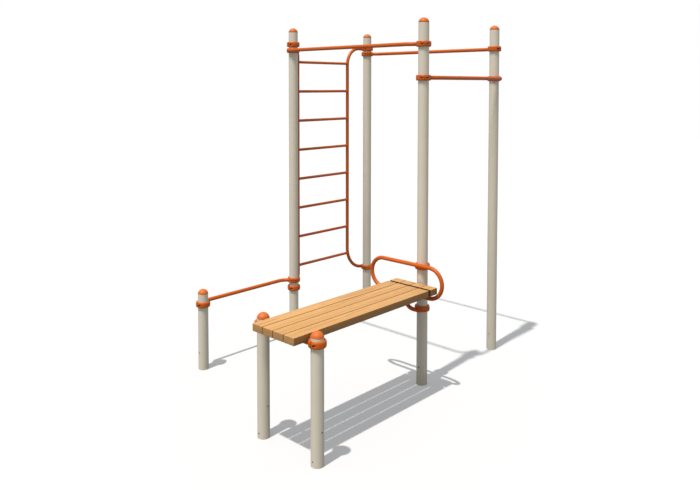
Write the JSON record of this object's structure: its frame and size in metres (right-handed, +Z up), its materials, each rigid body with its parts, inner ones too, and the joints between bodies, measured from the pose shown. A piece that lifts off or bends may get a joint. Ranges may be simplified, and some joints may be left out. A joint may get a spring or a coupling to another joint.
{
  "type": "multi pull-up bar station",
  "caption": "Outdoor exercise station: pull-up bars, ladder, low bar and bench with a loop handle, clamped to round steel posts.",
  "frame": {"origin": "middle of the station's outline in plan, at the posts' lower ends", "axes": "+X runs along the bench from its free end towards the tall posts, +Y towards the ladder side, +Z up"},
  "size_m": [2.8028, 1.9753, 3.034],
  "materials": {
    "post_paint": "satin powder coat, warm beige",
    "orange_paint": "semi-gloss powder coat, orange",
    "orange_cap": "glossy moulded plastic, orange",
    "bench_wood": "oiled light timber"
  },
  "bodies": {
    "root": {"post_front_left": "post_paint", "post_front_right": "post_paint", "post_back_left": "post_paint", "post_back_right": "post_paint", "post_low_bar": "post_paint", "bench_leg_back": "post_paint", "bench_leg_front": "post_paint", "cap_front_left": "orange_cap", "cap_front_right": "orange_cap", "cap_back_left": "orange_cap", "cap_back_right": "orange_cap", "cap_low_bar": "orange_cap", "cap_leg_back": "orange_cap", "cap_leg_front": "orange_cap", "high_bar_left": "orange_paint", "high_bar_right": "orange_paint", "front_bar": "orange_paint", "low_bar": "orange_paint", "ladder_stile_left": "orange_paint", "ladder_stile_right": "orange_paint", "ladder_rung_1": "orange_paint", "ladder_rung_2": "orange_paint", "ladder_rung_3": "orange_paint", "ladder_rung_4": "orange_paint", "ladder_rung_5": "orange_paint", "ladder_rung_6": "orange_paint", "ladder_rung_7": "orange_paint", "ladder_rung_8": "orange_paint", "clamp_high_bar_left_back": "orange_paint", "clamp_high_bar_left_front": "orange_paint", "clamp_high_bar_right_front": "orange_paint", "clamp_high_bar_right_back": "orange_paint", "clamp_front_bar_right": "orange_paint", "clamp_front_bar_left": "orange_paint", "clamp_low_bar_outer": "orange_paint", "clamp_low_bar_inner": "orange_paint", "clamp_ladder_top_left": "orange_paint", "clamp_ladder_bottom_left": "orange_paint", "clamp_ladder_top_right": "orange_paint", "clamp_ladder_bottom_right": "orange_paint", "clamp_bench_handle": "orange_paint", "clamp_bench_handle_stay": "orange_paint", "clamp_bench_leg_back": "orange_paint", "clamp_bench_leg_front": "orange_paint", "bench_plank_1": "bench_wood", "bench_plank_2": "bench_wood", "bench_plank_3": "bench_wood", "bench_plank_4": "bench_wood", "bench_end_block_1": "bench_wood", "bench_end_block_2": "bench_wood", "bench_end_block_3": "bench_wood", "bench_end_block_4": "bench_wood", "bench_cross_tube": "orange_paint", "bench_handle": "orange_paint", "bench_handle_stay": "orange_paint", "bench_bracket": "orange_paint"}
  },
  "joints": []
}
